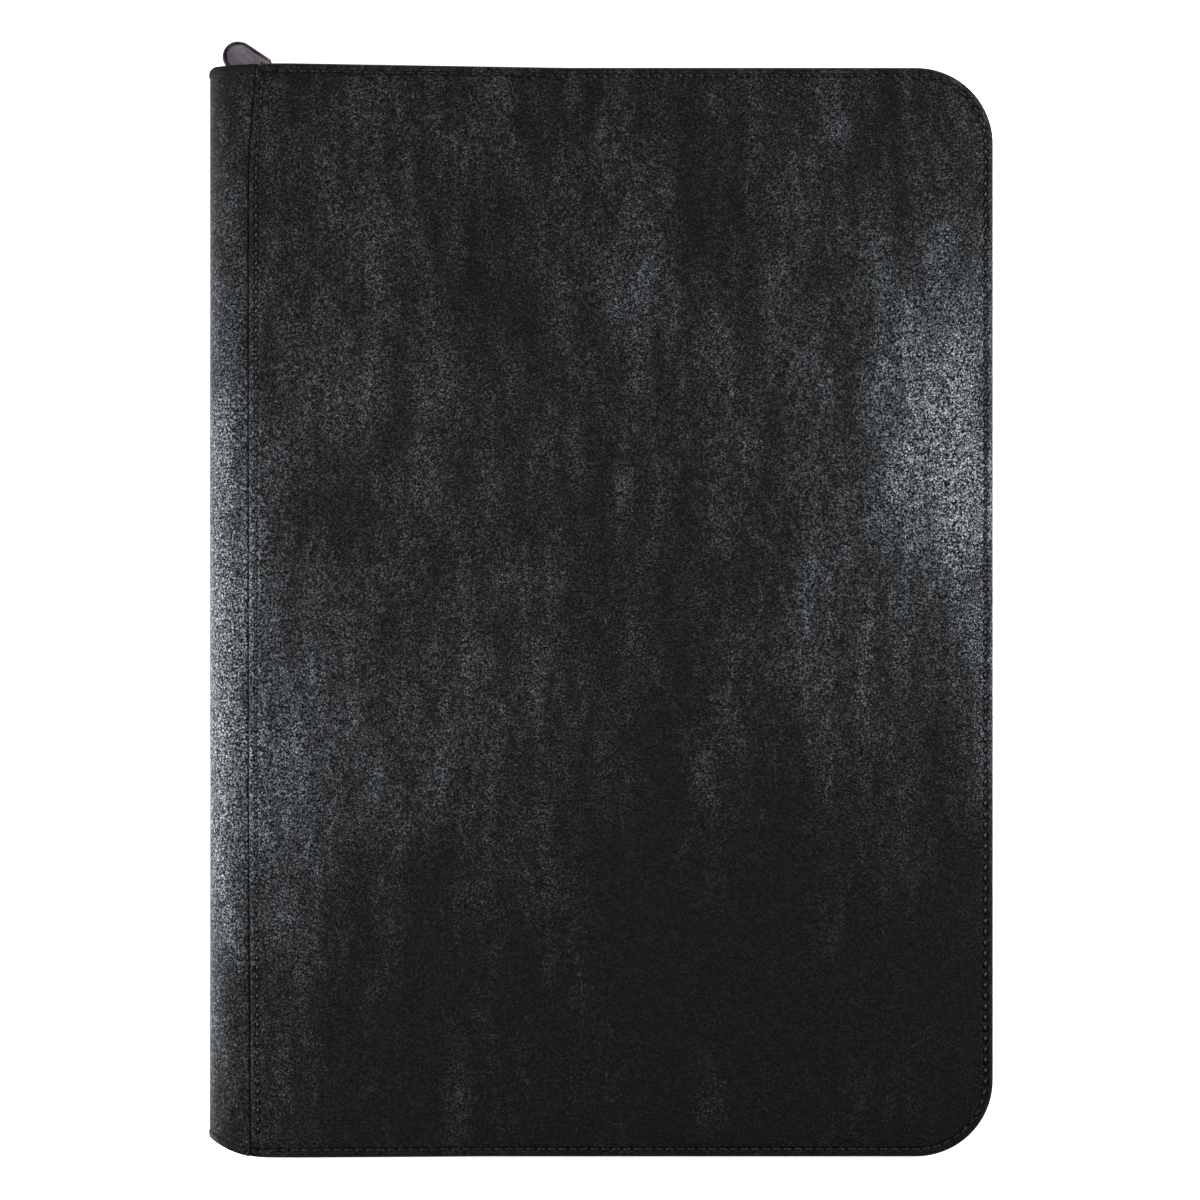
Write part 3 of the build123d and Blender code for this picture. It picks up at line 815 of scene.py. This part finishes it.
def stretch(line, start, step, count):
    """The part of a line that carries a count of units at an even step from a start."""
    run = travel(line)
    stop = start + step * (count - 1)
    inner = line[(run > start) & (run < stop)]
    ends = [[np.interp(at, run, line[:, axis]) for axis in range(line.shape[1])] for at in (start, stop)]
    return np.concatenate([ends[:1], inner, ends[1:]])


def stitch_unit(length, half_width, half_height):
    """One stitch: a short run of thread, tapered where it dives into its holes."""
    rows = []
    for t in np.linspace(-1, 1, 9):
        swell = math.sqrt(max(1 - t**4, 0.012))
        turn = np.linspace(0, 2 * math.pi, 8, endpoint=False)
        sink = -0.34 * MM * t**2
        y = half_width * swell * np.cos(turn)
        z = half_height * swell * np.sin(turn) + sink
        rows.append(np.stack([np.full(8, t * length / 2), y, z], 1))
    return loft(rows)


def edge_seam_line():
    """Line of the edge seam on the front cover, with its stitches between the needle holes."""
    line = ring(fold_x, EDGE_SEAM)[: 2 * END + 2 * ROUND + SIDE]
    count = int(travel(line)[-1] / STITCH) - 2
    line = stretch(line, 1.5 * STITCH, STITCH, count)
    return placed(line, np.full(len(line), top_z - 0.7 * MM), True), count


def fold_seam_line():
    """Line of the fold seam on the front cover."""
    last = (math.floor((end_y - FOLD_SEAM_END) / FOLD_STITCH - 0.5) + 0.5) * FOLD_STITCH
    first = FOLD_STITCH - last
    y = np.linspace(first, last, 600)
    points = np.stack([np.full_like(y, fold_x + FOLD_SEAM), y], 1)
    count = round((last - first) / FOLD_STITCH) + 1
    return placed(points, np.full_like(y, top_z - 0.2 * MM), True), count


needle_line, edge_count = edge_seam_line()
fold_line, fold_count = fold_seam_line()
bobbin_line = needle_line.copy()
bobbin_line[:, 2] = lining_low.z + 0.12 * MM
for body, side, flip in (("front_cover", "front", False), ("root", "back", True)):
    edge_lines = [to_back(line) if flip else line for line in (needle_line, bobbin_line)]
    fold_lines = [to_back(fold_line) if flip else fold_line]
    along_lines(
        f"{side}_edge_stitches", edge_lines, stitch_unit(2.5 * MM, 0.34 * MM, 0.34 * MM),
        edge_count, 0.07, 4, THREAD, body, [f"{side}_edge_thread"],
    )
    along_lines(
        f"{side}_fold_stitches", fold_lines, stitch_unit(2.2 * MM, 0.32 * MM, 0.32 * MM),
        fold_count, 0.06, 5, THREAD, body, [f"{side}_fold_thread"],
    )


# ---- Zip -----------------------------------------------------------------------------------------
BAND_TOP = 5.2 * MM  # height above mid-chain of the flat band that carries the teeth
TAPE_HALF = 0.25 * MM
TAIL_GAP = 0.15 * MM  # between a closed tail and the front cover's tape


def zip_run(inset):
    """Points along the zip at an inset: foot, fore-edge and head, the same count at every inset."""
    radius = CORNER - inset
    right, end = edge_x - inset, end_y - inset
    turn = np.linspace(0, math.pi / 2, 26)[1:-1]
    x = zip_start_x + (right - radius - zip_start_x) * np.linspace(0, 1, 230)
    corner = [right - radius, -end + radius] + radius * np.stack([np.sin(turn), -np.cos(turn)], 1)
    fore = np.linspace([right, -end + radius], [right, end - radius], 320)
    foot = np.stack([x, np.full_like(x, -end)], 1)
    half = np.concatenate([foot, corner])
    mirrored = np.stack([half[::-1, 0], -half[::-1, 1]], 1)
    points = np.concatenate([half, fore, mirrored])
    share = np.clip((chain_inset - inset) / (chain_inset - 1 * MM), 0, 1)
    points[:, 1] += (draw_in(points[:, 0], points[:, 1]) - points[:, 1]) * share
    return points


tape_middle = [  # inset and height above mid-chain of the tape's middle, in mm
    (9.4, 13.65), (2.6, 13.65), (1.6, 13.5), (1.15, 13.0), (1.1, 12.4), (1.35, 11.5), (2.1, 10.3),
    (3.3, 8.9), (4.7, 7.6), (6.1, 6.5), (7.1, 5.75), (7.65, 5.2), (7.95, 4.4), (8.0, 3.6), (8.0, 2.9),
]
tape_middle = np.array(tape_middle) * MM


def thick_line(line, half):
    """A closed loop around an open line in a plane."""
    step = np.gradient(line, axis=0)
    across = np.stack([-step[:, 1], step[:, 0]], 1) / np.hypot(step[:, 0], step[:, 1])[:, None]
    return np.concatenate([line + across * half, (line - across * half)[::-1]])


TOOTH_PITCH = 1.5 * MM
chain_path = zip_run(chain_inset)
chain_run = travel(chain_path)


def zip_tape(name, body, replaced, cut_tails, flip):
    """Tape from under a cover to the chain.  The front one stops short of the closed tails."""
    section = thick_line(tape_middle, TAPE_HALF)
    down = travel(tape_middle)
    down = np.concatenate([down, down[::-1]])
    rows, cloth = [], []
    for (inset, height), depth in zip(section, down):
        points = zip_run(inset)
        free = np.clip(1 - abs(height - 8.5 * MM) / (3.5 * MM), 0, 1)
        sway = 0.22 * MM * free * unrest(chain_run * 1.3, chain_run * 0, 11)
        heights = np.full(len(points), height)
        if cut_tails:
            head_tail = (points[:, 1] > 0) & (points[:, 0] < head_tail_x + TAIL_GAP)
            foot_tail = (points[:, 1] < 0) & (points[:, 0] < foot_tail_x + TAIL_GAP)
            raised = np.maximum(heights, BAND_TOP + 0.12 * MM)
            heights = np.where(head_tail | foot_tail, raised, heights)
        outward = np.sign(points[:, 1]) * np.clip((abs(points[:, 1]) - 0.12) / 0.04, 0, 1)
        rows.append(np.stack([points[:, 0], points[:, 1] + sway * outward, mid_z + heights], 1))
        cloth.append(np.stack([chain_run, np.full_like(chain_run, depth), np.zeros_like(chain_run)], 1))
    rows = np.swapaxes(np.array(rows), 0, 1)
    cloth = np.swapaxes(np.array(cloth), 0, 1).reshape(-1, 3)
    points, faces = loft(rows)
    points = to_back(points) if flip else points
    piece(name, points, faces, TAPE, body, replaces=[replaced], cloth=cloth)


def tooth_unit():
    """One loop of the coil, as a rounded bar with a swollen head that hooks past the other row.
    Each station is a height from mid-chain and half sizes along and across the chain, in mm."""
    rows = []
    stations = ((3.05, 0.20, 0.4), (2.9, 0.36, 0.85), (2.2, 0.38, 1.02), (1.2, 0.36, 1.02))
    stations += ((0.5, 0.40, 1.0), (0.0, 0.50, 0.94), (-0.3, 0.46, 0.8), (-0.48, 0.26, 0.45))
    turn = np.linspace(0, 2 * math.pi, 8, endpoint=False)
    for height, half_along, half_deep in stations:
        x, y = half_along * np.cos(turn), half_deep * np.sin(turn)
        rows.append(np.stack([x, y, np.full(8, height)], 1) * MM)
    return loft(rows)


def chain_line(first, last, shift):
    """Middle of the chain from the first pitch to the last, and how many teeth it carries."""
    count = last - first + 1
    line = stretch(chain_path, (first + shift) * TOOTH_PITCH, TOOTH_PITCH, count)
    return np.column_stack([line, np.full(len(line), mid_z)]), count


def turned_over(unit):
    """The same unit upside down, its faces still outwards."""
    points, faces = unit
    flipped = np.array(points)
    flipped[:, 2] *= -1
    return flipped, [face[::-1] for face in faces]


zip_tape("front_zip_cloth", "front_cover", "front_zip_tape", True, False)
zip_tape("back_zip_cloth", "root", "back_zip_tape", False, True)
chain_end = int(chain_run[-1] / TOOTH_PITCH) - 1
foot_parts = math.ceil((foot_tail_x - zip_start_x) / TOOTH_PITCH)
head_parts = math.ceil((head_tail_x - zip_start_x) / TOOTH_PITCH)
front_chain, front_count = chain_line(foot_parts + 1, chain_end - head_parts, 0)
back_chain, back_count = chain_line(0, chain_end, 0.5)
along_lines(
    "front_zip_coil", [front_chain], tooth_unit(), front_count, 0.02, 1, COIL,
    "front_cover", ["front_zip_teeth"],
)
along_lines(
    "back_zip_coil", [back_chain], turned_over(tooth_unit()), back_count, 0.02, 2, COIL,
    "root", ["back_zip_teeth"],
)


def closed_tail(end_name, sign, tail_x, parts, first):
    """Front half of the chain beside the spine: always closed, so it stays with the back half."""
    x = np.linspace(zip_start_x, tail_x - TAIL_GAP, 24)
    y = sign * (end_y - chain_inset)
    band = np.array([(-1, 2.9), (1, 2.9), (1, 5.02), (-1, 5.02)]) * [TAPE_HALF, MM]
    rows = [[(one, y + off, mid_z + height) for off, height in band] for one in x]
    points, faces = loft(rows)
    piece(
        f"zip_{end_name}_band", points, faces, TAPE, "root", replaces=[f"zip_{end_name}_tail"],
        cloth=points,
    )
    line, count = chain_line(first, first + parts - 1, 0)
    along_lines(
        f"zip_{end_name}_coil", [line], tooth_unit(), count, 0.02, 3, COIL, "root", []
    )


closed_tail("foot", -1, foot_tail_x, foot_parts, 1)
closed_tail("head", 1, head_tail_x, head_parts, chain_end - head_parts + 1)


# ---- Pull tab ------------------------------------------------------------------------------------
# The tab is flat in its own plane, in mm from its joint.  Its outline and its dish are hulls of
# circles, each given by its middle and its radius.
NECK, SHOULDER, REACH, END_ROUND = 2.2, 2.6, 11.0, 5.3
HEEL = (1.8, -4.2, 0.9)
SHOULDER_SIDES = ((NECK - 0.3, NECK), (-NECK - 0.7, NECK))
ROUND_END = (REACH, -0.7, END_ROUND)
TAB_HALF, TAB_RIM, TAB_DISH = 1.0, 0.45, 0.3
EYELET = 1.25
TAB_ANGLE, TAB_TILT = math.radians(151.4), math.radians(22)
joint_at = {joint["name"]: joint.get("pos_m") for joint in frame["joints"]}
outer = [(0, 0, NECK), *((SHOULDER, *side) for side in SHOULDER_SIDES), HEEL, ROUND_END]
dish = [*((SHOULDER + NECK, *side) for side in SHOULDER_SIDES), ROUND_END]
bearing = np.linspace(0, 2 * math.pi, 180, endpoint=False)
facing = np.stack([np.cos(bearing), np.sin(bearing)], 1)


def circle_reaches(circles, inset):
    """How far each circle, drawn in by an inset, reaches in every bearing."""
    return np.array([facing @ np.array(c[:2]) + c[2] - inset for c in circles])


def hull_line(circles):
    """The hull of circles, as the point that reaches farthest in every bearing."""
    owner = np.argmax(circle_reaches(circles, 0), axis=0)
    table = np.array(circles)
    return table[owner, :2] + facing * table[owner, 2:]


def in_dish(points):
    """Depth of points inside the dish, negative outside it."""
    reach = np.max(circle_reaches(dish, TAB_RIM), axis=0)
    return -np.max(points @ facing.T - reach, axis=1)


def pull_tab():
    """Round-ended plate with an eyelet, a dish in each face and a blackened rim, drawn widest on one side
    as painted shade.
    """
    rim = hull_line(outer)
    hole = facing * EYELET
    shares = np.concatenate([np.linspace(0, 0.9, 34), [0.93, 0.955, 0.975, 0.99, 1.0]])
    half, gun = [], []
    for share in shares:
        points = hole + (rim - hole) * share
        edge = np.hypot(*(rim - points).T)
        depth = in_dish(points)
        lower = TAB_DISH * np.clip(depth / 0.55, 0, 1) ** 1.5 + 0.12 * np.clip(depth / 3.4, 0, 1)
        height = TAB_HALF - lower - rolled(edge, 0.4)
        if share == 0:
            height = height - 0.25
        half.append(np.column_stack([points, height]))
        # Painted shade: the blackened rim is drawn wider on one side, where the tilted tab is shaded.
        dark_rim_width = 0.3 + 1.1 * np.clip(0.92 * facing[:, 1] + 0.4 * facing[:, 0], 0, 1)
        gun.append((edge > dark_rim_width) & (np.hypot(*points.T) > EYELET + 0.5))
    rows = half + [row * [1, 1, -1] for row in half[::-1]]
    marks = gun + gun[::-1]
    rows.append(rows[0])
    marks.append(marks[0])
    points, faces = loft(rows, caps=False)
    marks = np.concatenate(marks)
    slots = [int(marks[list(face)].all()) for face in faces]
    tilt = Matrix.Rotation(TAB_TILT, 3, "X")
    turn = Matrix.Rotation(TAB_ANGLE, 3, "Z")
    move = np.array(turn @ tilt)
    points = points @ move.T * MM + np.array(joint_at["pull_turn"])
    metals = [BLACKENED_RIM_AND_SHADE, GUNMETAL]
    piece("pull_plate", points, faces, metals, "pull", slots, ["pull_tab"])


pull_tab()


# ---- Leaves --------------------------------------------------------------------------------------
LEAF_COUNT = 20
ROOT_X = spine_x + 3.9 * MM
ROOT_END_X = ROOT_X + 5.1 * MM
ROOT_PITCH = 0.35 * MM
BACKING_HALF = 0.15 * MM
FILM_THICK = 0.12 * MM
POCKETS_X = spine_x + 29.5 * MM  # where the first column of pockets starts
POCKET_MARGIN = 2 * MM
leaf_half_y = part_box("leaf_01")[1].y


def leaf(number):
    """Black sheet with a bent inner margin and nine clear pockets on each face."""
    node = f"leaf_{number:02d}"
    low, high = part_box(node)
    hinge_x, z = low.x - 0.15 * MM, (low.z + high.z) / 2
    base = mid_z + ROOT_PITCH * (number - 1 - (LEAF_COUNT - 1) / 2)
    bend = np.linspace(0, 1, 9)
    ease = bend * bend * (3 - 2 * bend)
    margin = ROOT_END_X + (hinge_x - ROOT_END_X) * bend
    x = np.concatenate([[ROOT_X], margin, [hinge_x + 3 * MM], [high.x]])
    height = np.concatenate([[base], base + (z - base) * ease, [z], [z]])
    line = thick_line(np.stack([x, height], 1), BACKING_HALF)
    rows = [[(px, y, pz) for px, pz in line] for y in np.linspace(-leaf_half_y, leaf_half_y, 5)]
    points, faces = loft(rows)
    points, slots = [points], [0] * len(faces)
    width = (high.x - POCKETS_X) / 3
    tall = 2 * (leaf_half_y - POCKET_MARGIN) / 3
    count = len(points[0])
    profile = np.array([0, 0.02, 0.08, 0.25, 0.5, 0.75, 0.92, 0.98, 1])
    puff = 1 - (2 * profile - 1) ** 4
    rise = 0.09 * MM * np.outer(puff, puff)
    for side, column, row in itertools.product((1, -1), range(3), range(3)):
        across = POCKETS_X + width * (column + 0.012 + 0.976 * profile)
        along = -leaf_half_y + POCKET_MARGIN + tall * (row + 0.01 + 0.98 * profile)
        gx, gy = np.meshgrid(across, along, indexing="ij")
        over = np.stack([gx, gy, z + side * (BACKING_HALF + 0.5 * FILM_THICK + rise)], -1)
        under = np.stack([gx, gy, np.full_like(gx, z + side * BACKING_HALF)], -1)
        pocket, pocket_faces = loft(np.concatenate([under, over[:, ::-1]], 1))
        faces += [[count + i for i in face] for face in pocket_faces]
        slots += [1] * len(pocket_faces)
        points.append(pocket)
        count += len(pocket)
    points = np.concatenate(points)
    replaced = [node, "leaf_roots"] if number == 1 else [node]
    made = piece(node + "_sheet", points, faces, [SHEET, FILM], None, slots, replaced)
    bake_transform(made)


for number in range(1, LEAF_COUNT + 1):
    leaf(number)


# ---- Pieces that keep their shape ----------------------------------------------------------------
for names, made_of in (
    ("front_foam back_foam", FOAM),
    ("front_board back_board spine_board", BOARD),
    ("spine_lining head_gusset foot_gusset", LINING),
    ("binding_channel upper_binding_strip lower_binding_strip", MOULDED),
    ("binding_thread", THREAD),
    ("slider_body slider_bridge pull_link head_stop foot_stop", PAINTED),
):
    for node in names.split():
        shown = frame["nodes"][node]
        shown.data.materials.clear()
        shown.data.materials.append(made_of)


# ---- Floor, lights and camera --------------------------------------------------------------------
VIEW_WIDTH = 390.0 * MM  # seen across the picture at the cover's top


def stage():
    """Backlit white paper, three soft lamps, a low even fill and a long lens straight above."""
    scene = bpy.context.scene
    scene.view_settings.view_transform = "Standard"
    bpy.ops.mesh.primitive_plane_add(size=6, location=(0, 0, -0.2 * MM))
    floor = bpy.context.object
    floor.name = "floor"
    made, _, shader = material("backlit_white_paper")  # evenly white, with no shadow on it
    shader.inputs["Base Color"].default_value = colour("#f4f4f4")
    shader.inputs["Roughness"].default_value = 0.9
    shader.inputs["Emission Color"].default_value = colour("#ffffff")
    shader.inputs["Emission Strength"].default_value = 1.0
    floor.data.materials.append(made)

    world = bpy.data.worlds.new("studio")
    world.use_nodes = True
    fill = world.node_tree.nodes["Background"].inputs
    fill["Color"].default_value = (1, 1, 1, 1)
    fill["Strength"].default_value = 0.042
    scene.world = world

    for name, place_at, aim, size, watts in (
        ("spine_side", (-0.46, -0.05, 0.30), (-0.1, -0.02, 0.03), (0.14, 0.36), 4.6),
        ("fore_edge_side", (0.44, 0.07, 0.30), (0.1, 0.06, 0.03), (0.14, 0.22), 3.6),
        ("head_side", (0.0, 0.75, 0.75), (0, 0.1, 0), (0.5, 0.2), 2.2),
    ):
        data = bpy.data.lights.new(name, "AREA")
        data.shape = "RECTANGLE"
        data.size, data.size_y = size
        data.energy = watts
        lamp = bpy.data.objects.new(name, data)
        scene.collection.objects.link(lamp)
        lamp.location = place_at
        lamp.rotation_euler = (Vector(aim) - Vector(place_at)).to_track_quat("-Z", "Y").to_euler()

    data = bpy.data.cameras.new("camera")
    data.lens, data.sensor_width = 300, 36
    camera = bpy.data.objects.new("camera", data)
    scene.collection.objects.link(camera)
    distance = VIEW_WIDTH * data.lens / data.sensor_width
    camera.location = (-0.3 * MM, 3.4 * MM, top_z + distance)
    data.clip_end = 20
    scene.camera = camera


stage()
